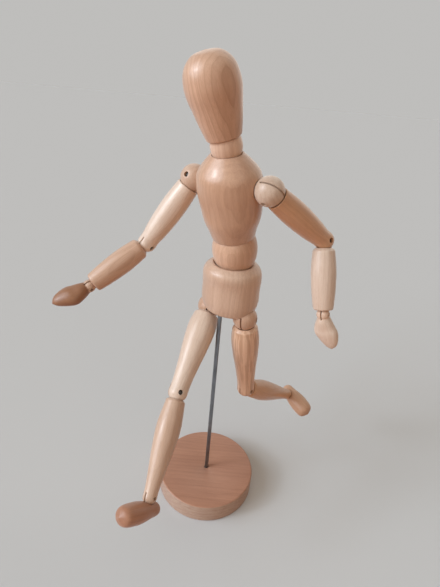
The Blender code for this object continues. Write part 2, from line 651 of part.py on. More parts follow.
def make_leg(side, pelvis, pelvis_frame):
    sign = SIDES[side]
    pose = LEG_ANGLES[side]
    ball = HIP_BALL_RADIUS
    hip = (sign * HIP_HALF_SPAN, -HIP_AHEAD_OF_SPINE, 0)
    splay = pivot(side + "_hip_socket", pelvis_frame, hip, (0, -sign * HIP_SPLAY, 0))
    cup = ball_mesh(side + "_hip_cup", ball + CLEARANCE, BODY_STEPS)
    cut(pelvis, cutter(cup.name, cup, splay))
    turn = pivot(side + "_hip_turn", splay, turn=(0, 0, sign * pose["turn"]))
    swing = pivot(side + "_hip_swing", turn, turn=(-pose["swing"], 0, 0))
    twist = pivot(side + "_thigh_turn", swing, turn=(0, 0, sign * pose["thigh_turn"]))

    hip_ball = place(bpy.data.objects.new(side + "_hip_ball", ball_mesh("ball", ball)), turn, "wood")
    web = LARGE_EYE_RADIUS + 2 * CLEARANCE
    reach = 2 * ball
    saw_kerf(side + "_hip_kerf", hip_ball, turn, (-KERF / 2, -reach, -reach), (KERF / 2, reach, web))
    pin_hole(side + "_hip_pin_hole", hip_ball, turn, LARGE_PIN_RADIUS, reach, ALONG_X)
    pin(side + "_hip_pin", turn, LARGE_PIN_RADIUS, ball - PIN_RECESS, ALONG_X)
    leg_end = web + BALL_WEB
    wire_bore = cylinder_mesh(side + "_hip_wire_bore", WIRE_BORE, leg_end, reach)
    cut(hip_ball, cutter(wire_bore.name, wire_bore, turn))
    coil_start = ball + HIP_COIL_OFFSET
    coil_end = coil_start + HIP_COIL_LENGTH
    well = cylinder_mesh(side + "_hip_spring_well", COIL_BORE, 0, coil_end + COIL_PITCH)
    cut(pelvis, cutter(well.name, well, splay))
    spring(side + "_hip_spring", splay, coil_start, coil_end, {"start": leg_end + CLEARANCE})

    top = dished_top(ball, RIM_ANGLE, 0.90 * THIGH_RADIUS)
    waypoints = [(THIGH_RADIUS, -0.24 * THIGH_LENGTH), (0.92 * THIGH_RADIUS, -0.46 * THIGH_LENGTH),
                 (0.5 * (0.84 * THIGH_RADIUS + KNEE_RADIUS), -0.70 * THIGH_LENGTH)]
    thigh = limb(side + "_thigh", twist, top, waypoints, ball_end(KNEE_RADIUS, THIGH_LENGTH))
    tang(side + "_hip_tang", swing, LARGE_EYE_RADIUS, LARGE_PIN_RADIUS, ball + TANG_GRIP, FACING_X)
    strip_bore(side + "_hip_bore", thigh, twist, LARGE_EYE_RADIUS, -ball - TANG_GRIP - CLEARANCE, 0)
    hinge(side, "knee", thigh, twist, THIGH_LENGTH, KNEE_RADIUS, LARGE_PIN_RADIUS, LARGE_EYE_RADIUS)

    knee = pivot(side + "_knee_bend", twist, (0, 0, -THIGH_LENGTH), (pose["knee"], 0, 0))
    waypoints = [(SHIN_RADIUS, -0.34 * SHIN_LENGTH), (0.88 * SHIN_RADIUS, -0.58 * SHIN_LENGTH),
                 (0.5 * (0.78 * SHIN_RADIUS + ANKLE_RADIUS), -0.80 * SHIN_LENGTH)]
    shin = limb(side + "_shin", knee, dished_top(KNEE_RADIUS, RIM_ANGLE, 0.80 * SHIN_RADIUS), waypoints,
                ball_end(ANKLE_RADIUS, SHIN_LENGTH))
    tang(side + "_knee_tang", knee, LARGE_EYE_RADIUS, LARGE_PIN_RADIUS, KNEE_RADIUS + TANG_GRIP, FACING_X)
    mortise(side + "_knee_mortise", shin, knee, LARGE_EYE_RADIUS, KNEE_RADIUS)
    slot = pivot(side + "_ankle_slot", knee, (0, 0, -SHIN_LENGTH), (0, 0, sign * pose["ankle_slot"]))
    hinge(side, "ankle", shin, slot, 0, ANKLE_RADIUS, SMALL_PIN_RADIUS, SMALL_EYE_RADIUS)

    ankle = pivot(side + "_ankle_bend", slot, turn=(-pose["ankle"], 0, 0))
    tang(side + "_ankle_tang", ankle, SMALL_EYE_RADIUS, SMALL_PIN_RADIUS,
         ANKLE_RADIUS + ANKLE_TANG_GRIP, FACING_X)
    make_foot(side, pivot(side + "_foot_turn", ankle, turn=(0, 0, sign * pose["foot_turn"])))


def make_figure(stand):
    swivel = pivot("pelvis_swivel", stand, turn=(0, 0, -FIGURE_TURN))
    pelvis_frame = pivot("pelvis_frame", swivel, (0, ROD_AHEAD_OF_SPINE, HIP_HEIGHT))
    pelvis, waist_seat, bore_floor = make_pelvis(pelvis_frame)
    torso_turn = pivot("torso_turn", pelvis_frame, waist_seat, (0, 0, -TORSO_TURN))
    coil_end = -WAIST_BALL_RADIUS - COIL_PITCH
    coil_start = bore_floor + CLEARANCE + WIRE_RADIUS - waist_seat[2]
    wire_gap = 3 * CLEARANCE
    spring("spine_spring", torso_turn, coil_start, coil_end, {"end": -wire_gap})
    waist_bend = pivot("waist_bend", torso_turn, turn=(WAIST_BEND, 0, 0))
    round_block("waist_block", waist_bend, WAIST_RADIUS, WAIST_EDGE_RADIUS, WAIST_HALF_HEIGHT)

    chest_frame = pivot("chest_lean", waist_bend, turn=(0, CHEST_LEAN, 0))
    chest, neck_seat = make_chest(chest_frame)
    cross_bore = cylinder_mesh("shoulder_bore", COIL_BORE, -SHOULDER_HALF_SPAN, SHOULDER_HALF_SPAN)
    across = (0, SHOULDER_BEHIND_SPINE, SHOULDER_HEIGHT)
    cut(chest, cutter("shoulder_bore", cross_bore, chest_frame, across, ALONG_X))
    half_coil = SHOULDER_HALF_SPAN - SHOULDER_BALL_RADIUS - SHOULDER_COIL_INSET
    leg = SHOULDER_HALF_SPAN - LARGE_EYE_RADIUS - BALL_WEB - 3 * CLEARANCE
    spring("shoulder_spring", chest_frame, -half_coil, half_coil, {"start": -leg, "end": leg},
           across, ALONG_X)
    low = WAIST_BALL_RADIUS + COIL_PITCH
    high = SHOULDER_HEIGHT - COIL_BORE - COIL_PITCH
    spring("chest_spring", chest_frame, low, high, {"start": wire_gap})

    neck_turn = pivot("neck_turn", chest_frame, neck_seat, (0, 0, -NECK_TURN))
    low = SHOULDER_HEIGHT + COIL_BORE + WIRE_RADIUS - neck_seat[2]
    high = -NECK_BALL_RADIUS - COIL_PITCH / 2
    spring("neck_spring", neck_turn, low, high, {"end": -wire_gap})
    neck_nod = pivot("neck_nod", neck_turn, turn=(NECK_NOD, 0, 0))
    round_block("neck", neck_nod, NECK_RADIUS, NECK_EDGE_RADIUS, NECK_HALF_HEIGHT)
    make_head(pivot("head_tilt", neck_nod, turn=(0, HEAD_TILT, 0)))
    for side in SIDES:
        make_arm(side, chest, chest_frame)
        make_leg(side, pelvis, pelvis_frame)


clear_scene()
parts = new_collection("artist_mannequin")
cutters = new_collection("cutters")
make_figure(make_stand())
bpy.context.view_layer.update()
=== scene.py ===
"""Looks of the wooden artist mannequin: finely turned wood, steel pins and rod, floor and light."""
import json
import math

import bpy
import bmesh
from mathutils import Euler, Matrix, Vector


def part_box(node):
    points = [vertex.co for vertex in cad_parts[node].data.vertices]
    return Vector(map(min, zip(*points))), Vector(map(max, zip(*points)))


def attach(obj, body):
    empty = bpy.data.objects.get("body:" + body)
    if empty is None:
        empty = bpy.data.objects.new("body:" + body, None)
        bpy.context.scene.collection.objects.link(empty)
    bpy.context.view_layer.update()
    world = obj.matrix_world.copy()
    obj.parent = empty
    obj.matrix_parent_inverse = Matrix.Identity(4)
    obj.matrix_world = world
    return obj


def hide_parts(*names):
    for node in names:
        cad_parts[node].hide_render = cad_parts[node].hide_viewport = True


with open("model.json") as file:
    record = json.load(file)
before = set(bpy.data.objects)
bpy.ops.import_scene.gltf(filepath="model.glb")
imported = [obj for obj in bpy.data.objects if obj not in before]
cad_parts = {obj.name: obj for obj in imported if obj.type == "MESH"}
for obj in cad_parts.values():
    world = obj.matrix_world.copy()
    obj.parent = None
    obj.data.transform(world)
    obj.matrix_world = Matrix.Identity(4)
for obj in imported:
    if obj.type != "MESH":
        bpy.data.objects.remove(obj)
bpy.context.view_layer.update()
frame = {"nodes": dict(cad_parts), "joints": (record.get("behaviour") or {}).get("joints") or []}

MM = 0.001
SIDES = {"right": -1, "left": 1}

# Fits and steel, as in the solids
CLEARANCE = 0.3 * MM
KERF = 1.1 * MM
LARGE_PIN_HOLE = 1.7 * MM
SMALL_PIN_HOLE = 1.2 * MM
LARGE_EYE = 3.0 * MM
SMALL_EYE = 2.0 * MM
TANG_GRIP = 8.0 * MM
ANKLE_TANG_GRIP = 5.0 * MM
COIL_BORE = 3.35 * MM
WIRE_BORE = 0.75 * MM
BALL_WEB = 1.0 * MM
RIM_ANGLE = 48.0
SHANK_ANGLE = 18.0
SHANK_TAPER = 0.985
SPRING_MOUTH_ANGLE = 24.0
LARGE_PIN_RADIUS = 1.4 * MM
SMALL_PIN_RADIUS = 0.9 * MM
PIN_RECESS = 1.2 * MM
PIN_EDGE = 0.25 * MM

# Stand
BASE_RADIUS = 39.0 * MM
BASE_THICKNESS = 16.6 * MM
BASE_EDGE = 1.4 * MM
ROD_RADIUS = 1.5 * MM
ROD_TIP = 0.3 * MM
ROD_SOCKET_DEPTH = 12.0 * MM
ROD_IN_PELVIS = 16.0 * MM
ROD_AHEAD_OF_SPINE = 12.7 * MM

# Torso and head
PELVIS_HALF_WIDTH = 20.5 * MM
PELVIS_HALF_DEPTH = 17.3 * MM
PELVIS_BOTTOM = 2.0 * MM
PELVIS_HEIGHT = 36.0 * MM
PELVIS_EDGE = 0.8 * MM
PELVIS_RIM_WIDTH = 1.2 * MM
PELVIS_RIM_DROP = 3.6 * MM
PELVIS_RIM_BAND = 14.0 * MM
SPINE_BORE_FLOOR = 8.0 * MM
HIP_AHEAD_OF_SPINE = 2.0 * MM
HIP_BALL_RADIUS = 8.6 * MM
HIP_WELL_DEPTH = 27.8 * MM
WAIST_RADIUS = 15.0 * MM
WAIST_EDGE_RADIUS = 12.9 * MM
WAIST_HALF_HEIGHT = 10.1 * MM
CHEST_HALF_WIDTH = 21.4 * MM
CHEST_HALF_DEPTH = 18.3 * MM
CHEST_HEIGHT = 52.9 * MM
COLLAR_WIDTH = 1.3 * MM
HEM_WIDTH = 0.4 * MM
HEM_BAND = 2.0 * MM
SHOULDER_HALF_SPAN = 27.6 * MM
SHOULDER_BEHIND_SPINE = 0.5 * MM
SHOULDER_HEIGHT = 43.9 * MM
SHOULDER_BALL_RADIUS = 8.9 * MM
NECK_RADIUS = 9.5 * MM
NECK_EDGE_RADIUS = 8.7 * MM
NECK_HALF_HEIGHT = 4.8 * MM
HEAD_RADIUS = 15.7 * MM
HEAD_HEIGHT = 45.0 * MM
HEAD_RIM_WIDTH = 1.2 * MM
HEAD_TILT = -6.8
WAIST_BALL_RADIUS = math.hypot(WAIST_EDGE_RADIUS, WAIST_HALF_HEIGHT)
NECK_BALL_RADIUS = math.hypot(NECK_EDGE_RADIUS, NECK_HALF_HEIGHT)

# Limbs
UPPER_ARM_LENGTH = 54.0 * MM
UPPER_ARM_RADIUS = 8.4 * MM
ELBOW_RADIUS = 6.4 * MM
FOREARM_LENGTH = 48.0 * MM
FOREARM_RADIUS = 8.1 * MM
FOREARM_EDGE = 1.5 * MM
WRIST_RADIUS = 4.3 * MM
WRIST_BALL_ARC = 115.0
WRIST_BEND = {"right": 9.2, "left": -17.0}
HAND_LENGTH = 26.0 * MM
HAND_HALF_WIDTH = 7.8 * MM
HAND_FLATNESS = 0.66
FINGER_LEAN = 3.2 * MM
THIGH_LENGTH = 64.9 * MM
THIGH_RADIUS = 10.1 * MM
KNEE_RADIUS = 6.6 * MM
SHIN_LENGTH = 66.5 * MM
SHIN_RADIUS = 8.2 * MM
ANKLE_RADIUS = 4.6 * MM
FOOT_TURN = {"right": 1.5, "left": 71.7}
FOOT_LENGTH = 33.0 * MM
FOOT_HALF_WIDTH = 7.4 * MM
FOOT_HEIGHT = 11.0 * MM
FOOT_OVAL_HALF_HEIGHT = 0.6 * FOOT_HEIGHT
FOOT_SOFTENING = 0.6 * MM
HEEL_BEHIND_ANKLE = 9.0 * MM
SOLE_BELOW_ANKLE = 13.4 * MM

# Outlines from the top down, as shares of the half width and of the height
CHEST_OUTLINE = [(0.76, 0.105), (0.94, 0.205), (1, 0.35), (0.97, 0.53), (0.88, 0.745)]
HEAD_OUTLINE = [(0.52, 0.035), (0.84, 0.14), (1, 0.35), (0.885, 0.64), (0.76, 0.85)]
HAND_OUTLINE = [(0.82, 0.30), (1, 0.48), (0.80, 0.72), (0.40, 0.92)]
FOOT_OUTLINE = [(0.52, 0.06), (0.78, 0.28), (1, 0.66), (0.80, 0.91)]

# Facets of a turned piece, the softened edges of cuts and rims, and angles in degrees
TURN_STEPS = 96
CUT_STEPS = 48
EDGE_SOFTENING = 0.22 * MM
EDGE_SEGMENTS = 2
SOFTENED_ANGLE = 38.0
SHARP_SHADING_ANGLE = 35.0
RIM_SOFTENING = 0.55 * MM
SHARP_CORNER = 22.0
ON_AXIS = 1e-7
# The flats of the solids lie this far inside the curve that they follow. So do the round surfaces
# here that come near a neighbour at a joint's limit.
FLATS_DEPTH = 0.16 * MM

# Camera, solved from the base's rim in the photo
PHOTO_SIZE = (440, 587)
FOCAL_PIXELS = 441.0
CAMERA_PLACE = (0.0, -256.2 * MM, 330.2 * MM)
CAMERA_YAW = -0.3
CAMERA_PITCH = 29.31
CAMERA_ROLL = -5.04
SENSOR_WIDTH = 36.0
NEAR_CLIP = 0.01

joints = {joint["name"]: joint for joint in frame["joints"]}


def joint_place(name):
    return Vector(joints[name]["pos_m"])


def joint_axis(name):
    return Vector(joints[name]["axis"]).normalized()


def frame_from(place, x, y=None, z=None):
    """The matrix of a frame with the x axis given, and the y or z axis as near as it can be."""
    if z is not None:
        y = z.cross(x).normalized()
    else:
        y = (y - x * x.dot(y)).normalized()
    z = x.cross(y).normalized()
    turn = Matrix((x, y, z)).transposed()
    return Matrix.Translation(place) @ turn.to_4x4()


# Profiles

def curve_through(points, spans=8):
    """Points of a smooth curve through the given (radius, height) points."""
    knots = [Vector(point) for point in points]
    chords = [end - start for start, end in zip(knots, knots[1:])]
    tangents = [chords[0].normalized()]
    for before, after in zip(chords, chords[1:]):
        weight = before.length / (before.length + after.length)
        tangents.append(before.normalized().lerp(after.normalized(), weight))
    tangents.append(chords[-1].normalized())
    smooth = []
    for index, chord in enumerate(chords):
        leaving = tangents[index] * chord.length
        arriving = tangents[index + 1] * chord.length
        for step in range(spans):
            t = step / spans
            smooth.append(knots[index] + t * leaving + t * t * (3 * chord - 2 * leaving - arriving)
                          + t ** 3 * (leaving + arriving - 2 * chord))
    smooth.append(knots[-1])
    return [tuple(point) for point in smooth]


def corner(radius, height, size, start, end, steps=6):
    """Points on a rounded edge about (radius, height), by angle from straight up in degrees."""
    points = []
    for step in range(steps + 1):
        angle = math.radians(start + (end - start) * step / steps)
        points.append((radius + size * math.sin(angle), height + size * math.cos(angle)))
    return points


def arc(radius, height, start, end, steps=16):
    """Points on a sphere about (0, height), by angle from straight up in degrees."""
    return corner(0, height, radius, start, end, steps)


def outline(shares, wide, top, height):
    """Points given as shares of a half width and, down from the top, of a height."""
    return [(across * wide, top - down * height) for across, down in shares]


def dished_top(ball_radius, outer_radius):
    """The upper end of a limb that hangs from a ball at its origin: dish, rim and chamfer."""
    dish = arc(ball_radius + CLEARANCE, 0, 180, 180 - RIM_ANGLE)
    return dish + [(outer_radius, -outer_radius / math.tan(math.radians(RIM_ANGLE)))]


def ball_end(radius, length):
    """The round lower end of a limb, about the next joint."""
    shank = (SHANK_TAPER * radius, -length + radius * math.tan(math.radians(SHANK_ANGLE)))
    return [shank] + arc(radius, -length, 90, 180, steps=24)


def limb_profile(top, waypoints, bottom):
    """A limb's outline: its upper end, a smooth side through the waypoints, and its lower end."""
    return top + curve_through([top[-1]] + waypoints + bottom[:2])[1:-1] + bottom[1:]


def walk(points, start, step, distance):
    """The place on a polyline at a distance from one of its points, and the next point beyond."""
    index = start
    while 0 <= index + step < len(points):
        gap = (points[index + step] - points[index]).length
        if gap >= distance:
            return points[index].lerp(points[index + step], distance / gap), index + step
        distance -= gap
        index += step
    return points[index], index


def rounded(profile, size=RIM_SOFTENING, steps=5):
    """The same outline with its sharp outer corners rounded over the given distance."""
    points = [Vector(point) for point in profile]
    sharp = {}
    for index in range(1, len(points) - 1):
        arriving = points[index] - points[index - 1]
        leaving = points[index + 1] - points[index]
        if math.degrees(arriving.angle(leaving)) > SHARP_CORNER and points[index].x > 2 * size:
            sharp[index] = (walk(points, index, -1, size), walk(points, index, 1, size))
    softened = []
    skip_to = 0
    for index, point in enumerate(points):
        if index in sharp:
            (start, last_kept), (end, skip_to) = sharp[index]
            softened = [kept for kept in softened if kept[0] <= last_kept]
            for step in range(steps + 1):
                t = step / steps
                bend = start.lerp(point, t).lerp(point.lerp(end, t), t)
                softened.append((index, bend))
        elif index >= skip_to:
            softened.append((index, point))
    return [tuple(point) for _, point in softened]


# Meshes

def turned(profile, steps=TURN_STEPS):
    """A body of revolution about Z from an outline that runs from the axis's top to its foot."""
    points = []
    rings = []
    for radius, height in profile:
        if radius < ON_AXIS:
            rings.append([len(points)])
            points.append((0, 0, height))
            continue
        rings.append(list(range(len(points), len(points) + steps)))
        for step in range(steps):
            angle = 2 * math.pi * step / steps
            points.append((radius * math.cos(angle), radius * math.sin(angle), height))
    faces = []
    for upper, lower in zip(rings, rings[1:]):
        for step in range(steps):
            ahead = (step + 1) % steps
            face = [upper[step % len(upper)], lower[step % len(lower)],
                    lower[ahead % len(lower)], upper[ahead % len(upper)]]
            faces.append(list(dict.fromkeys(face)))
    mesh = bpy.data.meshes.new("turned")
    mesh.from_pydata(points, [], faces)
    mesh.validate()
    return mesh


def ease(value):
    value = min(max(value, 0.0), 1.0)
    return value * value * (3 - 2 * value)


def flatten(mesh, flatness, start, end):
    """Narrow a turned mesh front to back, from round at height start to flatness at height end."""
    for vertex in mesh.vertices:
        share = ease((vertex.co.z - start) / (end - start))
        vertex.co.y *= 1 + (flatness - 1) * share


def lean_out(mesh, shift, start, end):
    """Carry a mesh sideways, from nothing at height start to the whole shift at height end."""
    for vertex in mesh.vertices:
        vertex.co.x += shift * ease((vertex.co.z - start) / (end - start))


def mesh_from(shape, name):
    mesh = bpy.data.meshes.new(name)
    shape.to_mesh(mesh)
    shape.free()
    return mesh


def box_tool(low, high):
    """A box between two corners."""
    low = Vector(low)
    high = Vector(high)
    size = Matrix.Diagonal((*(high - low), 1))
    shape = bmesh.new()
    bmesh.ops.create_cube(shape, size=1, matrix=Matrix.Translation((low + high) / 2) @ size)
    return mesh_from(shape, "box_tool")


def rod_tool(radius, start, end, steps=CUT_STEPS):
    """A cylinder from one point to another."""
    start = Vector(start)
    end = Vector(end)
    along = end - start
    turn = Vector((0, 0, 1)).rotation_difference(along).to_matrix().to_4x4()
    shape = bmesh.new()
    bmesh.ops.create_cone(shape, cap_ends=True, segments=steps, radius1=radius, radius2=radius,
                          depth=along.length, matrix=Matrix.Translation((start + end) / 2) @ turn)
    return mesh_from(shape, "rod_tool")


def ball_tool(radius, place=(0, 0, 0), steps=TURN_STEPS):
    """A ball about a point."""
    shape = bmesh.new()
    bmesh.ops.create_uvsphere(shape, u_segments=steps, v_segments=steps // 2, radius=radius,
                              matrix=Matrix.Translation(place))
    return mesh_from(shape, "ball_tool")


def new_object(name, data):
    thing = bpy.data.objects.new(name, data)
    bpy.context.scene.collection.objects.link(thing)
    return thing


def in_order(mesh):
    """The same mesh with points and faces in one fixed order, whatever order a cut left them in."""
    places = [tuple(vertex.co) for vertex in mesh.vertices]
    order = sorted(range(len(places)), key=lambda index: places[index])
    rank = {old: new for new, old in enumerate(order)}
    faces = []
    for polygon in mesh.polygons:
        face = [rank[index] for index in polygon.vertices]
        first = face.index(min(face))
        faces.append(face[first:] + face[:first])
    ordered = bpy.data.meshes.new("in_order")
    ordered.from_pydata([places[index] for index in order], [], sorted(faces))
    return ordered


def modified(mesh, kind, *choices):
    """A new mesh: the given one under modifiers of one kind, one for each set of choices."""
    blank = new_object("blank", mesh)
    for settings in choices:
        modifier = blank.modifiers.new("modifier", kind)
        for setting, value in settings.items():
            setattr(modifier, setting, value)
    graph = bpy.context.evaluated_depsgraph_get()
    result = bpy.data.meshes.new_from_object(blank.evaluated_get(graph))
    bpy.data.objects.remove(blank)
    return result


def carve(mesh, tools, softening=EDGE_SOFTENING):
    """Cut the tools out of a mesh and soften the edges that are left."""
    helpers = [new_object("helper", tool) for tool in tools]
    cuts = [dict(operation="DIFFERENCE", solver="EXACT", object=helper) for helper in helpers]
    mesh = in_order(modified(mesh, "BOOLEAN", *cuts))
    for helper in helpers:
        bpy.data.objects.remove(helper)
    if softening:
        mesh = modified(mesh, "BEVEL", dict(
            width=softening, segments=EDGE_SEGMENTS, limit_method="ANGLE",
            angle_limit=math.radians(SOFTENED_ANGLE), use_clamp_overlap=True))
    mesh.shade_smooth()
    mesh.set_sharp_from_angle(angle=math.radians(SHARP_SHADING_ANGLE))
    return mesh


# Materials

# Tones of the single pieces, from pale pink to light brown: partly the wood's own differences,
# partly painted light, with darker tones on pieces in shade and paler ones on pieces facing the
# light
CHALK = (0.79, 0.68, 0.58)
BONE = (0.75, 0.64, 0.54)
IVORY = (0.67, 0.56, 0.46)
BLUSH = (0.83, 0.63, 0.49)
CREAM = (0.66, 0.49, 0.37)
PALE = (0.61, 0.41, 0.285)
AMBER = (0.69, 0.465, 0.32)
HONEY = (0.76, 0.525, 0.36)
ROSE = (0.59, 0.37, 0.235)
TAN = (0.64, 0.375, 0.20)
BROWN = (0.44, 0.205, 0.105)
UMBER = (0.30, 0.125, 0.038)
# The base's top and its side: painted light, with the upright side paler and the top darker, as the
# low light falls from the side
BASE_TOP = (0.44, 0.215, 0.128)
LIT_BASE_SIDE = (0.505, 0.395, 0.31)
TONES = {
    "base": BASE_TOP, "pelvis": CREAM, "waist": AMBER, "chest": ROSE, "neck": BLUSH, "head": AMBER,
    "right_ball": CREAM, "right_upper_arm": CHALK, "right_forearm": PALE, "right_hand": UMBER,
    "left_ball": IVORY, "left_upper_arm": TAN, "left_forearm": BONE, "left_hand": BONE,
    "right_hip": PALE, "right_thigh": CHALK, "right_shin": CREAM, "right_foot": BROWN,
    "left_hip": PALE, "left_thigh": HONEY, "left_shin": TAN, "left_foot": ROSE,
}
ROD_TONE = (0.25, 0.262, 0.285)
PIN_TONE = (0.10, 0.088, 0.078)
SHEET_TONE = (0.40, 0.40, 0.40)
TARNISH = (0.6, 0.6, 0.6)

# Marks in the wood: sizes in millimetres, strengths as the share of brown that a mark takes
RING_WIDTH = 3.1
RING_WANDER = 9.0
RING_STRENGTH = 0.30
STREAK_STRENGTH = 0.30
BAND_STRENGTH = 0.20
FLECK_STRENGTH = 0.22
END_GRAIN_STRENGTH = 0.40
THIGH_STRIPES = {"right": 1.0, "left": 3.6}
# Shades of a piece's own tone, by channel
PALE_SHADE = (1.10, 1.10, 1.10)
WARM_SHADE = (0.88, 0.80, 0.74)
BROWN_SHADE = (0.66, 0.52, 0.43)
# A painted highlight on the wrist ball, in a tone that fades with height: the fade per millimetre,
# and its value at the ball's centre
PAINTED_HIGHLIGHT_FADE = 0.5
PAINTED_HIGHLIGHT_AT_CENTRE = 1.5

WOOD_ROUGHNESS = 0.32
FIBRE_ROUGHNESS = 0.14
END_GRAIN_ROUGHNESS = 0.12
LACQUER_ROUGHNESS = 0.24
WOOD_BUMP = 0.04 * MM
STEEL_BUMP = 0.03 * MM
TO_MILLIMETRES = (1000, 1000, 1000)


def shaded(tone, shade):
    return (*[min(1.0, channel * share) for channel, share in zip(tone, shade)], 1)


def new_material(name):
    """A new material, its node tree and its shader."""
    material = bpy.data.materials.new(name)
    material.use_nodes = True
    return material, material.node_tree, material.node_tree.nodes["Principled BSDF"]


def node_of(tree, kind, **settings):
    """A new node with values set on its sockets or, where it has no such socket, on itself."""
    node = tree.nodes.new(kind)
    for name, value in settings.items():
        if name in node.inputs:
            node.inputs[name].default_value = value
        else:
            setattr(node, name, value)
    return node


def math_node(tree, operation, first, second=None):
    """The outcome of a sum on numbers or sockets."""
    node = tree.nodes.new("ShaderNodeMath")
    node.operation = operation
    for socket, value in zip(node.inputs, (first, second)):
        if value is None:
            continue
        if isinstance(value, (int, float)):
            socket.default_value = value
        else:
            tree.links.new(value, socket)
    return node.outputs[0]


def mix_colours(tree, factor, first, second):
    node = node_of(tree, "ShaderNodeMix", data_type="RGBA")
    values = ((node.inputs[0], factor), (node.inputs[6], first), (node.inputs[7], second))
    for socket, value in values:
        if isinstance(value, bpy.types.NodeSocket):
            tree.links.new(value, socket)
        else:
            socket.default_value = value
    return node.outputs[2]


def ramp(tree, factor, stops):
    """Grey by a factor, through (position, value) stops."""
    node = tree.nodes.new("ShaderNodeValToRGB")
    elements = node.color_ramp.elements
    while len(elements) < len(stops):
        elements.new(0.5)
    for element, (position, value) in zip(elements, stops):
        element.position = position
        element.color = (value, value, value, 1)
    tree.links.new(factor, node.inputs[0])
    return node.outputs[0]


def stretched_noise(tree, coordinates, stretch, scale, detail=3.0, roughness=0.55):
    """Noise in millimetre coordinates, drawn out along the grain."""
    squeeze = node_of(tree, "ShaderNodeMapping", Scale=(1, 1, stretch))
    tree.links.new(coordinates, squeeze.inputs["Vector"])
    noise = node_of(tree, "ShaderNodeTexNoise", Scale=scale, Detail=detail, Roughness=roughness)
    tree.links.new(squeeze.outputs[0], noise.inputs["Vector"])
    return noise.outputs["Fac"]


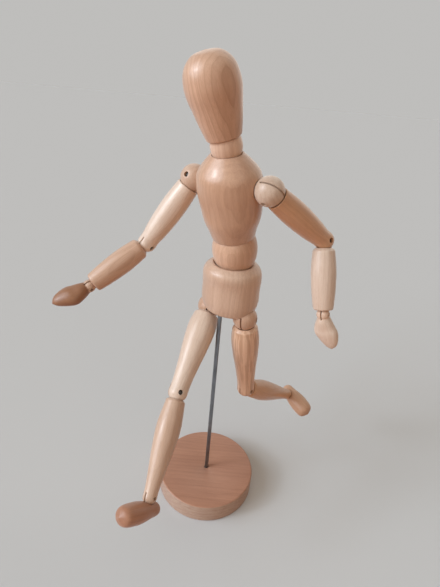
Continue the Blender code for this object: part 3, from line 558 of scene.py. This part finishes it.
def wood(name, pith, grain_turn=(0, 0, 0), figure=1.0, stripes=1.0, gloss=0.7, browning_reach=None,
         lit_side_tone=None, painted_highlight_tone=None):
    """Close-grained wood under satin lacquer.

    The log's centre lies at minus pith from the piece, in millimetres. Wood nearer to it than the
    given reach is browner. End grain is darker and rougher. The side tone is painted light: upright
    faces take this colour, standing in for the light from the side. The ball tone is a painted
    highlight: the ball at the piece's origin takes this colour, as if lit.
    """
    tone = TONES[name]
    material, tree, shader = new_material(name + "_wood")
    texture = node_of(tree, "ShaderNodeTexCoord")
    turn = Euler([math.radians(angle) for angle in grain_turn])
    to_mm = node_of(tree, "ShaderNodeMapping", Scale=TO_MILLIMETRES, Rotation=turn)
    tree.links.new(texture.outputs["Object"], to_mm.inputs["Vector"])
    shifted = node_of(tree, "ShaderNodeVectorMath", operation="ADD")
    tree.links.new(to_mm.outputs[0], shifted.inputs[0])
    shifted.inputs[1].default_value = pith
    coordinates = shifted.outputs[0]

    wander = stretched_noise(tree, coordinates, stretch=0.25, scale=0.06, detail=2.0)
    parts = node_of(tree, "ShaderNodeSeparateXYZ")
    tree.links.new(coordinates, parts.inputs[0])
    across = math_node(tree, "MULTIPLY", parts.outputs["X"], parts.outputs["X"])
    through = math_node(tree, "MULTIPLY", parts.outputs["Y"], parts.outputs["Y"])
    distance = math_node(tree, "SQRT", math_node(tree, "ADD", across, through))
    waved = math_node(tree, "ADD", distance, math_node(tree, "MULTIPLY", wander, RING_WANDER))
    phase = math_node(tree, "FRACT", math_node(tree, "DIVIDE", waved, RING_WIDTH))
    rings = ramp(tree, phase, [(0.0, 0.15), (0.35, 0.0), (0.8, 0.45), (0.96, 1.0), (1.0, 0.15)])
    fibres = stretched_noise(tree, coordinates, stretch=0.035, scale=2.6, detail=4.0, roughness=0.6)
    bands = stretched_noise(tree, coordinates, stretch=0.02, scale=0.55, detail=2.0)
    specks = stretched_noise(tree, coordinates, stretch=0.16, scale=1.9, detail=1.0)
    flecks = ramp(tree, specks, [(0.60, 0.0), (0.70, 1.0)])
    blotches = stretched_noise(tree, coordinates, stretch=0.35, scale=0.045, detail=2.0)
    facing = node_of(tree, "ShaderNodeVectorMath", operation="DOT_PRODUCT")
    tree.links.new(texture.outputs["Normal"], facing.inputs[0])
    facing.inputs[1].default_value = turn.to_matrix().transposed() @ Vector((0, 0, 1))
    endwise = math_node(tree, "ABSOLUTE", facing.outputs["Value"])
    end_grain = ramp(tree, endwise, [(0.62, 0.0), (0.98, 1.0)])

    brown = shaded(tone, BROWN_SHADE)
    colour = mix_colours(tree, ramp(tree, blotches, [(0.35, 0.0), (0.68, 0.75)]),
                         shaded(tone, PALE_SHADE), shaded(tone, WARM_SHADE))
    # Wood within the given reach of the log's centre is made browner
    if browning_reach:
        inside = math_node(tree, "SUBTRACT", browning_reach + RING_WANDER / 2, waved)
        inner = ramp(tree, math_node(tree, "ADD", inside, 0.5),
                     [(0.0, 0.0), (0.45, 0.30), (0.6, 0.44), (1.0, 0.08)])
        colour = mix_colours(tree, inner, colour, brown)
    # Painted light: upright faces take the side tone, as if lit from the side
    if lit_side_tone:
        upright = node_of(tree, "ShaderNodeSeparateXYZ")
        tree.links.new(texture.outputs["Normal"], upright.inputs[0])
        level = math_node(tree, "ABSOLUTE", upright.outputs["Z"])
        lit_side_share = ramp(tree, level, [(0.3, 1.0), (0.8, 0.0)])
        colour = mix_colours(tree, lit_side_share, colour, (*lit_side_tone, 1))
    # Painted highlight: the ball at the piece's origin takes the ball tone, as if lit
    if painted_highlight_tone:
        along = node_of(tree, "ShaderNodeSeparateXYZ")
        tree.links.new(to_mm.outputs[0], along.inputs[0])
        fade = math_node(tree, "MULTIPLY", along.outputs["Z"], PAINTED_HIGHLIGHT_FADE)
        above = math_node(tree, "ADD", fade, PAINTED_HIGHLIGHT_AT_CENTRE)
        painted_highlight_share = ramp(tree, above, [(0.2, 0.0), (0.8, 1.0)])
        colour = mix_colours(tree, painted_highlight_share, colour, (*painted_highlight_tone, 1))
    streaks = ramp(tree, fibres, [(0.38, 0.0), (0.72, 1.0)])
    broad = ramp(tree, bands, [(0.44, 0.0), (0.58, 1.0)])
    marks = [(rings, RING_STRENGTH * figure), (streaks, STREAK_STRENGTH),
             (broad, BAND_STRENGTH * stripes), (flecks, FLECK_STRENGTH),
             (end_grain, END_GRAIN_STRENGTH)]
    for mark, strength in marks:
        colour = mix_colours(tree, math_node(tree, "MULTIPLY", mark, strength), colour, brown)
    tree.links.new(colour, shader.inputs["Base Color"])

    rough = math_node(tree, "MULTIPLY", fibres, FIBRE_ROUGHNESS)
    rough = math_node(tree, "ADD", rough, WOOD_ROUGHNESS)
    rough_ends = math_node(tree, "MULTIPLY", end_grain, END_GRAIN_ROUGHNESS)
    tree.links.new(math_node(tree, "ADD", rough_ends, rough), shader.inputs["Roughness"])
    shader.inputs["Specular IOR Level"].default_value = 0.35
    shader.inputs["Coat Weight"].default_value = gloss
    shader.inputs["Coat Roughness"].default_value = LACQUER_ROUGHNESS
    shader.inputs["Sheen Weight"].default_value = 0.15
    shader.inputs["Sheen Roughness"].default_value = 0.9
    grain = math_node(tree, "ADD", math_node(tree, "MULTIPLY", streaks, 0.6),
                      math_node(tree, "MULTIPLY", rings, 0.4))
    bump = node_of(tree, "ShaderNodeBump", Strength=0.10, Distance=WOOD_BUMP)
    tree.links.new(grain, bump.inputs["Height"])
    tree.links.new(bump.outputs[0], shader.inputs["Normal"])
    return material


def steel(name, tone, roughness, stretch):
    """Drawn steel with faint scratches along its length and a little tarnish."""
    material, tree, shader = new_material(name)
    place = node_of(tree, "ShaderNodeTexCoord").outputs["Object"]
    to_mm = node_of(tree, "ShaderNodeMapping", Scale=TO_MILLIMETRES)
    tree.links.new(place, to_mm.inputs["Vector"])
    coordinates = to_mm.outputs[0]
    scratches = stretched_noise(tree, coordinates, stretch, scale=6.0, detail=4.0, roughness=0.65)
    tarnish = stretched_noise(tree, coordinates, stretch=0.4, scale=0.25)
    colour = mix_colours(tree, ramp(tree, tarnish, [(0.4, 0.0), (0.7, 0.8)]),
                         (*tone, 1), shaded(tone, TARNISH))
    tree.links.new(colour, shader.inputs["Base Color"])
    shader.inputs["Metallic"].default_value = 1.0
    rough = math_node(tree, "ADD", math_node(tree, "MULTIPLY", scratches, 0.25), roughness)
    tree.links.new(rough, shader.inputs["Roughness"])
    bump = node_of(tree, "ShaderNodeBump", Strength=0.08, Distance=STEEL_BUMP)
    tree.links.new(scratches, bump.inputs["Height"])
    tree.links.new(bump.outputs[0], shader.inputs["Normal"])
    return material


# Pieces

def show(name, body, mesh, place, material):
    """Put a finished mesh in the place of the CAD node of the same name."""
    piece = new_object("fine_" + name, mesh)
    piece.matrix_world = place
    piece.data.materials.clear()
    piece.data.materials.append(material)
    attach(piece, body)
    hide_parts(name)


def show_stand():
    socket = ROD_RADIUS + CLEARANCE
    floor = BASE_THICKNESS - ROD_SOCKET_DEPTH
    profile = [(0, floor), (socket, floor), (socket, BASE_THICKNESS)]
    profile += corner(BASE_RADIUS - BASE_EDGE, BASE_THICKNESS - BASE_EDGE, BASE_EDGE, 0, 90)
    profile += corner(BASE_RADIUS - BASE_EDGE, BASE_EDGE, BASE_EDGE, 90, 180)
    profile += [(0, 0)]
    show("stand_base", "stand", carve(turned(profile, 2 * TURN_STEPS), []), Matrix(),
         wood("base", pith=(7, 46, 0), grain_turn=(0, 90, 8), gloss=0.15, lit_side_tone=LIT_BASE_SIDE))
    low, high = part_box("stand_rod")
    edge = ROD_RADIUS - ROD_TIP
    profile = [(0, high.z)] + corner(edge, high.z - ROD_TIP, ROD_TIP, 0, 90, steps=3)
    profile += corner(edge, low.z + ROD_TIP, ROD_TIP, 90, 180, steps=3) + [(0, low.z)]
    show("stand_rod", "stand", carve(turned(profile, CUT_STEPS), [], softening=0), Matrix(),
         steel("rod_steel", ROD_TONE, roughness=0.24, stretch=0.05))


def show_round_block(name, place, radius, edge_radius, half_height, material):
    """A drum with ball-shaped ends and a bellied side."""
    ball = math.hypot(edge_radius, half_height)
    throat = WIRE_BORE + CLEARANCE
    edge_angle = math.degrees(math.asin(edge_radius / ball))
    upper = [(0, 2 * CLEARANCE), (throat, 2 * CLEARANCE)]
    upper += arc(ball, 0, SPRING_MOUTH_ANGLE, edge_angle)
    for share in (0.8, 0.6, 0.4, 0.2):
        upper.append((radius - (radius - edge_radius) * share ** 2, share * half_height))
    lower = [(across, -height) for across, height in reversed(upper)]
    profile = rounded(upper + [(radius, 0)] + lower)
    show(name, name, carve(turned(profile), []), place, material)


def show_pelvis():
    hips = [joint_place(side + "_hip_turn") for side in ("right", "left")]
    across = (hips[1] - hips[0]).normalized()
    place = frame_from((hips[0] + hips[1]) / 2, x=across, z=Vector((0, 0, 1)))
    place = place @ Matrix.Translation((0, HIP_AHEAD_OF_SPINE, 0))
    top = PELVIS_BOTTOM + PELVIS_HEIGHT
    bottom = PELVIS_BOTTOM + FLATS_DEPTH
    wide = PELVIS_HALF_WIDTH - FLATS_DEPTH
    seat = WAIST_BALL_RADIUS + CLEARANCE
    seat_height = top + WAIST_HALF_HEIGHT - CLEARANCE
    rim = math.sqrt(seat ** 2 - (seat_height - top) ** 2)
    side = [(rim + PELVIS_RIM_WIDTH, top), (0.92 * wide, top - PELVIS_RIM_DROP),
            (wide, PELVIS_BOTTOM + 0.48 * PELVIS_HEIGHT),
            (0.97 * wide, PELVIS_BOTTOM + 0.16 * PELVIS_HEIGHT),
            (0.86 * wide, bottom + PELVIS_EDGE), (0.72 * wide, bottom)]
    mesh = turned([(0, top)] + curve_through(side) + [(0, bottom)])
    flatten(mesh, PELVIS_HALF_DEPTH / wide, top, top - PELVIS_RIM_BAND)
    tools = [ball_tool(seat, (0, 0, seat_height)),
             rod_tool(COIL_BORE, (0, 0, PELVIS_BOTTOM + SPINE_BORE_FLOOR), (0, 0, top)),
             rod_tool(ROD_RADIUS + CLEARANCE, (0, -ROD_AHEAD_OF_SPINE, -PELVIS_HEIGHT),
                      (0, -ROD_AHEAD_OF_SPINE, PELVIS_BOTTOM + ROD_IN_PELVIS))]
    inverse = place.inverted()
    for side, sign in SIDES.items():
        hip = inverse @ joint_place(side + "_hip_turn")
        up = inverse.to_3x3() @ (joint_axis(side + "_hip_turn") * sign)
        tools.append(ball_tool(HIP_BALL_RADIUS + CLEARANCE, hip))
        tools.append(rod_tool(COIL_BORE, hip, hip + up * HIP_WELL_DEPTH))
    show("pelvis", "pelvis", carve(mesh, tools), place, wood("pelvis", pith=(22, 40, 11)))


def show_chest():
    place = frame_from(joint_place("chest_lean"), x=joint_axis("right_shoulder_spin"),
                       y=joint_axis("chest_lean"))
    bottom = WAIST_HALF_HEIGHT - CLEARANCE
    top = bottom + CHEST_HEIGHT
    wide = CHEST_HALF_WIDTH - FLATS_DEPTH
    waist_ball = WAIST_BALL_RADIUS + CLEARANCE
    neck_ball = NECK_BALL_RADIUS + CLEARANCE
    neck_height = top + NECK_HALF_HEIGHT - CLEARANCE
    collar = math.sqrt(neck_ball ** 2 - (neck_height - top) ** 2)
    hem = math.sqrt(waist_ball ** 2 - bottom ** 2)
    side = [(collar + COLLAR_WIDTH, top)] + outline(CHEST_OUTLINE, wide, top, CHEST_HEIGHT)
    side += [(0.5 * (hem + 0.82 * wide), top - 0.90 * CHEST_HEIGHT), (hem + HEM_WIDTH, bottom)]
    mesh = turned([(0, top)] + curve_through(side) + [(0, bottom)])
    flatten(mesh, CHEST_HALF_DEPTH / wide, bottom + HEM_BAND, bottom + 0.4 * CHEST_HEIGHT)
    shoulder = Vector((SHOULDER_HALF_SPAN, SHOULDER_BEHIND_SPINE, SHOULDER_HEIGHT))
    other = Vector((-shoulder.x, shoulder.y, shoulder.z))
    tools = [ball_tool(waist_ball), ball_tool(neck_ball, (0, 0, neck_height)),
             rod_tool(COIL_BORE, (0, 0, 0), (0, 0, top)), rod_tool(COIL_BORE, other, shoulder),
             ball_tool(SHOULDER_BALL_RADIUS + CLEARANCE, shoulder),
             ball_tool(SHOULDER_BALL_RADIUS + CLEARANCE, other)]
    show("chest", "chest", carve(mesh, tools), place,
         wood("chest", pith=(-30, 37, 64), gloss=1.0))


def show_head():
    neck = frame_from(joint_place("head_tilt"), x=joint_axis("neck_nod"), y=joint_axis("head_tilt"))
    show_round_block("neck", neck, NECK_RADIUS, NECK_EDGE_RADIUS, NECK_HALF_HEIGHT,
                     wood("neck", pith=(31, 12, 5)))
    place = neck @ Matrix.Rotation(math.radians(HEAD_TILT), 4, "Y")
    bottom = NECK_HALF_HEIGHT - CLEARANCE
    top = bottom + HEAD_HEIGHT
    seat = NECK_BALL_RADIUS + CLEARANCE
    rim = math.sqrt(seat ** 2 - bottom ** 2)
    dish = arc(seat, 0, 0, math.degrees(math.acos(bottom / seat)))
    side = [(0, top)] + outline(HEAD_OUTLINE, HEAD_RADIUS, top, HEAD_HEIGHT)
    side.append((rim + HEAD_RIM_WIDTH, bottom + HEAD_RIM_WIDTH / 2))
    mesh = carve(turned(rounded(curve_through(side) + list(reversed(dish)))), [])
    show("head", "head", mesh, place, wood("head", pith=(-30, 10, 90), figure=2.0, browning_reach=28.0))


def show_torso():
    show_pelvis()
    waist = frame_from(joint_place("waist_bend"), x=joint_axis("waist_bend"),
                       y=joint_axis("chest_lean"))
    show_round_block("waist_block", waist, WAIST_RADIUS, WAIST_EDGE_RADIUS, WAIST_HALF_HEIGHT,
                     wood("waist", pith=(-18, 33, 41)))
    show_chest()
    show_head()


def hinge_tools(length, radius, hole, eye):
    """The saw kerf and pin hole at a limb's round lower end."""
    reach = 2 * radius
    kerf_top = -length + eye + 2 * CLEARANCE
    kerf = box_tool((-KERF / 2, -reach, -length - reach), (KERF / 2, reach, kerf_top))
    return [kerf, rod_tool(hole, (-reach, 0, -length), (reach, 0, -length))]


def show_shoulder_ball(side, sign):
    radius = SHOULDER_BALL_RADIUS
    web = LARGE_EYE + 2 * CLEARANCE
    reach = 2 * radius
    near, far = sorted((-sign * web, sign * reach))
    tools = [box_tool((near, -KERF / 2, -reach), (far, KERF / 2, reach)),
             rod_tool(LARGE_PIN_HOLE, (0, -reach, 0), (0, reach, 0)),
             rod_tool(WIRE_BORE, (-sign * (web + BALL_WEB), 0, 0), (-sign * reach, 0, 0))]
    place = frame_from(joint_place(side + "_arm_swing"), x=joint_axis(side + "_shoulder_spin"),
                       y=joint_axis(side + "_arm_swing") * -sign)
    show(side + "_shoulder_ball", side + "_shoulder_ball", carve(ball_tool(radius), tools), place,
         wood(side + "_ball", pith=(sign * 25, 18, 9)))


def show_upper_arm(side, sign):
    waypoints = [(UPPER_ARM_RADIUS - FLATS_DEPTH, -0.40 * UPPER_ARM_LENGTH),
                 (0.5 * (UPPER_ARM_RADIUS + ELBOW_RADIUS), -0.76 * UPPER_ARM_LENGTH)]
    top = dished_top(SHOULDER_BALL_RADIUS, 0.90 * UPPER_ARM_RADIUS - FLATS_DEPTH)
    profile = limb_profile(top, waypoints, ball_end(ELBOW_RADIUS, UPPER_ARM_LENGTH))
    tools = hinge_tools(UPPER_ARM_LENGTH, ELBOW_RADIUS, LARGE_PIN_HOLE, LARGE_EYE)
    depth = SHOULDER_BALL_RADIUS + TANG_GRIP + CLEARANCE
    tools.append(box_tool((-LARGE_EYE, -KERF / 2, -depth), (LARGE_EYE, KERF / 2, 0)))
    place = frame_from(joint_place(side + "_arm_swing"), x=-joint_axis(side + "_elbow_bend"),
                       y=joint_axis(side + "_arm_swing") * -sign)
    show(side + "_upper_arm", side + "_upper_arm", carve(turned(rounded(profile)), tools), place,
         wood(side + "_upper_arm", pith=(16, sign * 28, 33)))


def show_forearm(side, sign):
    elbow = joint_place(side + "_elbow_bend")
    wrist = joint_place(side + "_wrist_bend")
    wrist_dish = arc(WRIST_RADIUS + CLEARANCE, -FOREARM_LENGTH, RIM_ANGLE, 0)
    waypoints = [(FOREARM_RADIUS, -0.40 * FOREARM_LENGTH),
                 (0.94 * FOREARM_RADIUS, -0.70 * FOREARM_LENGTH)]
    cuff = corner(0.82 * FOREARM_RADIUS - FOREARM_EDGE, wrist_dish[0][1] + FOREARM_EDGE,
                  FOREARM_EDGE, 90, 180)
    top = dished_top(ELBOW_RADIUS, 0.88 * FOREARM_RADIUS)
    profile = limb_profile(top, waypoints, cuff + wrist_dish)
    depth = ELBOW_RADIUS + TANG_GRIP + CLEARANCE
    end = -FOREARM_LENGTH
    tools = [box_tool((-KERF / 2, -LARGE_EYE, -depth), (KERF / 2, LARGE_EYE, 0)),
             rod_tool(SMALL_EYE, (0, 0, end), (0, 0, end + WRIST_RADIUS + TANG_GRIP + CLEARANCE))]
    place = frame_from(elbow, x=-joint_axis(side + "_elbow_bend"), z=elbow - wrist)
    show(side + "_forearm", side + "_forearm", carve(turned(rounded(profile)), tools), place,
         wood(side + "_forearm", pith=(sign * 21, 26, 70)))


def show_hand(side, sign):
    elbow = joint_place(side + "_elbow_bend")
    wrist = joint_place(side + "_wrist_bend")
    hinge = frame_from(wrist, x=-joint_axis(side + "_wrist_bend"), z=elbow - wrist)
    place = hinge @ Matrix.Rotation(math.radians(-WRIST_BEND[side]), 4, "X")
    ball = arc(WRIST_RADIUS, 0, 0, WRIST_BALL_ARC)
    palm = [ball[-1]] + outline(HAND_OUTLINE, HAND_HALF_WIDTH, 0, HAND_LENGTH)
    mesh = turned(ball[:-1] + curve_through(palm + [(0, -HAND_LENGTH)]))
    flatten(mesh, HAND_FLATNESS, -WRIST_RADIUS / 2, -0.45 * HAND_LENGTH)
    lean_out(mesh, sign * FINGER_LEAN, -0.3 * HAND_LENGTH, -HAND_LENGTH)
    reach = 2 * WRIST_RADIUS
    tools = [box_tool((-KERF / 2, -reach, -SMALL_EYE - 2 * CLEARANCE), (KERF / 2, reach, reach)),
             rod_tool(SMALL_PIN_HOLE, (-reach, 0, 0), (reach, 0, 0))]
    # The hand's wrist ball gets a painted highlight
    show(side + "_hand", side + "_hand", carve(mesh, tools), place,
         wood(side + "_hand", pith=(sign * 12, 30, 15), gloss=0.3, painted_highlight_tone=BLUSH))


def show_hip_ball(side, sign):
    radius = HIP_BALL_RADIUS
    web = LARGE_EYE + 2 * CLEARANCE
    reach = 2 * radius
    tools = [box_tool((-KERF / 2, -reach, -reach), (KERF / 2, reach, web)),
             rod_tool(LARGE_PIN_HOLE, (-reach, 0, 0), (reach, 0, 0)),
             rod_tool(WIRE_BORE, (0, 0, web + BALL_WEB), (0, 0, reach))]
    place = frame_from(joint_place(side + "_hip_swing"), x=-joint_axis(side + "_hip_swing"),
                       z=joint_axis(side + "_hip_turn") * sign)
    show(side + "_hip_ball", side + "_hip_ball", carve(ball_tool(radius), tools), place,
         wood(side + "_hip", pith=(sign * 19, 27, 3)))


def show_thigh(side, sign):
    hip = joint_place(side + "_hip_swing")
    knee = joint_place(side + "_knee_bend")
    waypoints = [(THIGH_RADIUS - FLATS_DEPTH, -0.24 * THIGH_LENGTH),
                 (0.92 * THIGH_RADIUS, -0.46 * THIGH_LENGTH),
                 (0.5 * (0.84 * THIGH_RADIUS + KNEE_RADIUS), -0.70 * THIGH_LENGTH)]
    top = dished_top(HIP_BALL_RADIUS, 0.90 * THIGH_RADIUS - FLATS_DEPTH)
    profile = limb_profile(top, waypoints, ball_end(KNEE_RADIUS, THIGH_LENGTH))
    tools = hinge_tools(THIGH_LENGTH, KNEE_RADIUS, LARGE_PIN_HOLE, LARGE_EYE)
    tools.append(rod_tool(LARGE_EYE, (0, 0, -HIP_BALL_RADIUS - TANG_GRIP - CLEARANCE), (0, 0, 0)))
    place = frame_from(hip, x=joint_axis(side + "_knee_bend"), z=hip - knee)
    show(side + "_thigh", side + "_thigh", carve(turned(rounded(profile)), tools), place,
         wood(side + "_thigh", pith=(sign * 24, 17, 21), stripes=THIGH_STRIPES[side]))


def show_shin(side, sign):
    knee = joint_place(side + "_knee_bend")
    ankle = joint_place(side + "_ankle_bend")
    place = frame_from(knee, x=joint_axis(side + "_knee_bend"), z=knee - ankle)
    waypoints = [(SHIN_RADIUS, -0.34 * SHIN_LENGTH), (0.88 * SHIN_RADIUS, -0.58 * SHIN_LENGTH),
                 (0.5 * (0.78 * SHIN_RADIUS + ANKLE_RADIUS), -0.80 * SHIN_LENGTH)]
    top = dished_top(KNEE_RADIUS, 0.80 * SHIN_RADIUS)
    profile = limb_profile(top, waypoints, ball_end(ANKLE_RADIUS, SHIN_LENGTH))
    tools = hinge_tools(SHIN_LENGTH, ANKLE_RADIUS, SMALL_PIN_HOLE, SMALL_EYE)
    slot = place.to_3x3().inverted() @ -joint_axis(side + "_ankle_bend")
    for tool in tools:
        tool.transform(Matrix.Rotation(math.atan2(slot.y, slot.x), 4, "Z"))
    depth = KNEE_RADIUS + TANG_GRIP + CLEARANCE
    tools.append(box_tool((-KERF / 2, -LARGE_EYE, -depth), (KERF / 2, LARGE_EYE, 0)))
    show(side + "_shin", side + "_shin", carve(turned(rounded(profile)), tools), place,
         wood(side + "_shin", pith=(15, sign * 23, 58)))


def show_foot(side, sign):
    up = joint_axis(side + "_foot_turn") * sign
    hinge = frame_from(joint_place(side + "_ankle_bend"), x=-joint_axis(side + "_ankle_bend"), z=up)
    place = hinge @ Matrix.Rotation(math.radians(sign * FOOT_TURN[side]), 4, "Z")
    heel = HEEL_BEHIND_ANKLE
    edge = [(0, heel)] + outline(FOOT_OUTLINE, FOOT_HALF_WIDTH, heel, FOOT_LENGTH)
    mesh = turned(curve_through(edge + [(0, heel - FOOT_LENGTH)]))
    lie_down = Matrix.Rotation(math.radians(-90), 4, "X")
    squat = Matrix.Diagonal((1, 1, FOOT_OVAL_HALF_HEIGHT / FOOT_HALF_WIDTH, 1))
    middle = Matrix.Translation((0, 0, -SOLE_BELOW_ANKLE + 0.5 * FOOT_HEIGHT))
    mesh.transform(middle @ squat @ lie_down)
    reach = 2 * FOOT_LENGTH
    tools = [box_tool((-reach, -reach, -reach), (reach, reach, -SOLE_BELOW_ANKLE)),
             ball_tool(ANKLE_RADIUS + CLEARANCE),
             rod_tool(SMALL_EYE, (0, 0, -ANKLE_RADIUS - ANKLE_TANG_GRIP - CLEARANCE), (0, 0, 0))]
    show(side + "_foot", side + "_foot", carve(mesh, tools, FOOT_SOFTENING), place,
         wood(side + "_foot", pith=(sign * 17, 22, 8), grain_turn=(90, 0, 0), gloss=0.4))


PIN_STEEL = steel("pin_steel", PIN_TONE, roughness=0.34, stretch=0.3)
PINS = {
    "shoulder": ("arm_swing", "shoulder_ball", LARGE_PIN_RADIUS, SHOULDER_BALL_RADIUS),
    "elbow": ("elbow_bend", "upper_arm", LARGE_PIN_RADIUS, ELBOW_RADIUS),
    "wrist": ("wrist_bend", "hand", SMALL_PIN_RADIUS, WRIST_RADIUS),
    "hip": ("hip_swing", "hip_ball", LARGE_PIN_RADIUS, HIP_BALL_RADIUS),
    "knee": ("knee_bend", "thigh", LARGE_PIN_RADIUS, KNEE_RADIUS),
    "ankle": ("ankle_bend", "shin", SMALL_PIN_RADIUS, ANKLE_RADIUS),
}


def show_pins(side):
    """Pins with rounded, slightly domed ends, sunk below the wood at both sides."""
    for joint, (hinge, body, radius, ball) in PINS.items():
        half = ball - PIN_RECESS
        end = [(0, half), (radius / 2, half - PIN_EDGE / 5)]
        end += corner(radius - PIN_EDGE, half - 2 * PIN_EDGE, PIN_EDGE, 30, 90)
        profile = end + [(across, -height) for across, height in reversed(end)]
        axis = joint_axis(side + "_" + hinge)
        turn = Vector((0, 0, 1)).rotation_difference(axis).to_matrix().to_4x4()
        place = Matrix.Translation(joint_place(side + "_" + hinge)) @ turn
        mesh = carve(turned(profile, CUT_STEPS), [], softening=0)
        show(side + "_" + joint + "_pin", side + "_" + body, mesh, place, PIN_STEEL)


def dress_steel():
    """Tangs and springs keep their CAD shapes and get a steel of their own."""
    sheet_steel = steel("sheet_steel", SHEET_TONE, roughness=0.34, stretch=0.1)
    for node in frame["nodes"].values():
        if not node.hide_render:
            node.data.materials.clear()
            node.data.materials.append(sheet_steel)


# Floor, backdrop and light; with distant lamps the floor is evenly lit and runs into the backdrop
FLOOR_COLOUR = (0.66, 0.70, 0.725, 1)
FLOOR_BOUNCE_COLOUR = (0.55, 0.25, 0.11, 1)
BACKDROP_COLOUR = (0.519, 0.513, 0.501, 1)
FLOOR_REACH = 3.0
GLOW_COLOUR = (1.0, 0.68, 0.44, 1)
GLOW_STRENGTH = 0.15
# Each lamp's direction from the object, strength, spread in degrees and colour
LAMPS = {
    "window": ((-0.86, -0.28, 0.43), 1.86, 54.0, (0.93, 1.02, 1.12)),
    "window_core": ((-0.84, -0.30, 0.45), 0.48, 11.0, (0.95, 1.01, 1.09)),
    "room": ((-0.27, -0.70, 0.66), 1.02, 98.0, (1.0, 0.91, 0.81)),
    "wall": ((0.38, 0.80, 0.46), 0.80, 84.0, (1.0, 0.88, 0.76)),
}


def seen_plainly(tree):
    """One where the camera sees the surface, plainly or by way of gloss or glass; else nought."""
    path = tree.nodes.new("ShaderNodeLightPath")
    seen = math_node(tree, "MAXIMUM", path.outputs["Is Camera Ray"], path.outputs["Is Glossy Ray"])
    return math_node(tree, "MAXIMUM", seen, path.outputs["Is Transmission Ray"])


def set_stage():
    corners = [(-1, -1), (1, -1), (1, 1), (-1, 1)]
    points = [(FLOOR_REACH * x, FLOOR_REACH * y, 0) for x, y in corners]
    mesh = bpy.data.meshes.new("floor")
    mesh.from_pydata(points, [], [(0, 1, 2, 3)])
    floor = new_object("floor", mesh)
    material, tree, shader = new_material("pale_floor")
    colour = mix_colours(tree, seen_plainly(tree), FLOOR_BOUNCE_COLOUR, FLOOR_COLOUR)
    tree.links.new(colour, shader.inputs["Base Color"])
    shader.inputs["Roughness"].default_value = 1.0
    shader.inputs["Specular IOR Level"].default_value = 0.0
    floor.data.materials.append(material)


def distant_light(name, towards, strength, spread, colour):
    light = bpy.data.lights.new(name, "SUN")
    light.energy = strength
    light.angle = math.radians(spread)
    light.color = colour
    lamp = new_object(name, light)
    lamp.location = Vector(towards)
    lamp.rotation_euler = (-Vector(towards)).to_track_quat("-Z", "Y").to_euler()


def set_light():
    for name, lamp in LAMPS.items():
        distant_light(name, *lamp)
    world = bpy.data.worlds.new("studio")
    bpy.context.scene.world = world
    world.use_nodes = True
    tree = world.node_tree
    glow = tree.nodes["Background"]
    glow.inputs["Color"].default_value = GLOW_COLOUR
    glow.inputs["Strength"].default_value = GLOW_STRENGTH
    backdrop = node_of(tree, "ShaderNodeBackground", Color=BACKDROP_COLOUR)
    mix = tree.nodes.new("ShaderNodeMixShader")
    tree.links.new(seen_plainly(tree), mix.inputs[0])
    tree.links.new(glow.outputs[0], mix.inputs[1])
    tree.links.new(backdrop.outputs[0], mix.inputs[2])
    tree.links.new(mix.outputs[0], tree.nodes["World Output"].inputs["Surface"])


def set_camera():
    yaw, pitch, roll = [math.radians(angle) for angle in (CAMERA_YAW, CAMERA_PITCH, CAMERA_ROLL)]
    ahead = Vector((math.sin(yaw) * math.cos(pitch), math.cos(yaw) * math.cos(pitch),
                    -math.sin(pitch)))
    level_right = Vector((math.cos(yaw), -math.sin(yaw), 0))
    level_down = ahead.cross(level_right)
    right = math.cos(roll) * level_right + math.sin(roll) * level_down
    down = -math.sin(roll) * level_right + math.cos(roll) * level_down
    lens = bpy.data.cameras.new("camera")
    lens.sensor_width = SENSOR_WIDTH
    lens.lens = FOCAL_PIXELS * SENSOR_WIDTH / max(PHOTO_SIZE)
    lens.clip_start = NEAR_CLIP
    camera = new_object("camera", lens)
    turn = Matrix((right, -down, -ahead)).transposed()
    camera.matrix_world = Matrix.Translation(CAMERA_PLACE) @ turn.to_4x4()
    bpy.context.scene.camera = camera


show_stand()
show_torso()
for side, sign in SIDES.items():
    show_shoulder_ball(side, sign)
    show_upper_arm(side, sign)
    show_forearm(side, sign)
    show_hand(side, sign)
    show_hip_ball(side, sign)
    show_thigh(side, sign)
    show_shin(side, sign)
    show_foot(side, sign)
    show_pins(side)
dress_steel()
set_stage()
set_light()
set_camera()
bpy.context.scene.view_settings.view_transform = "Standard"
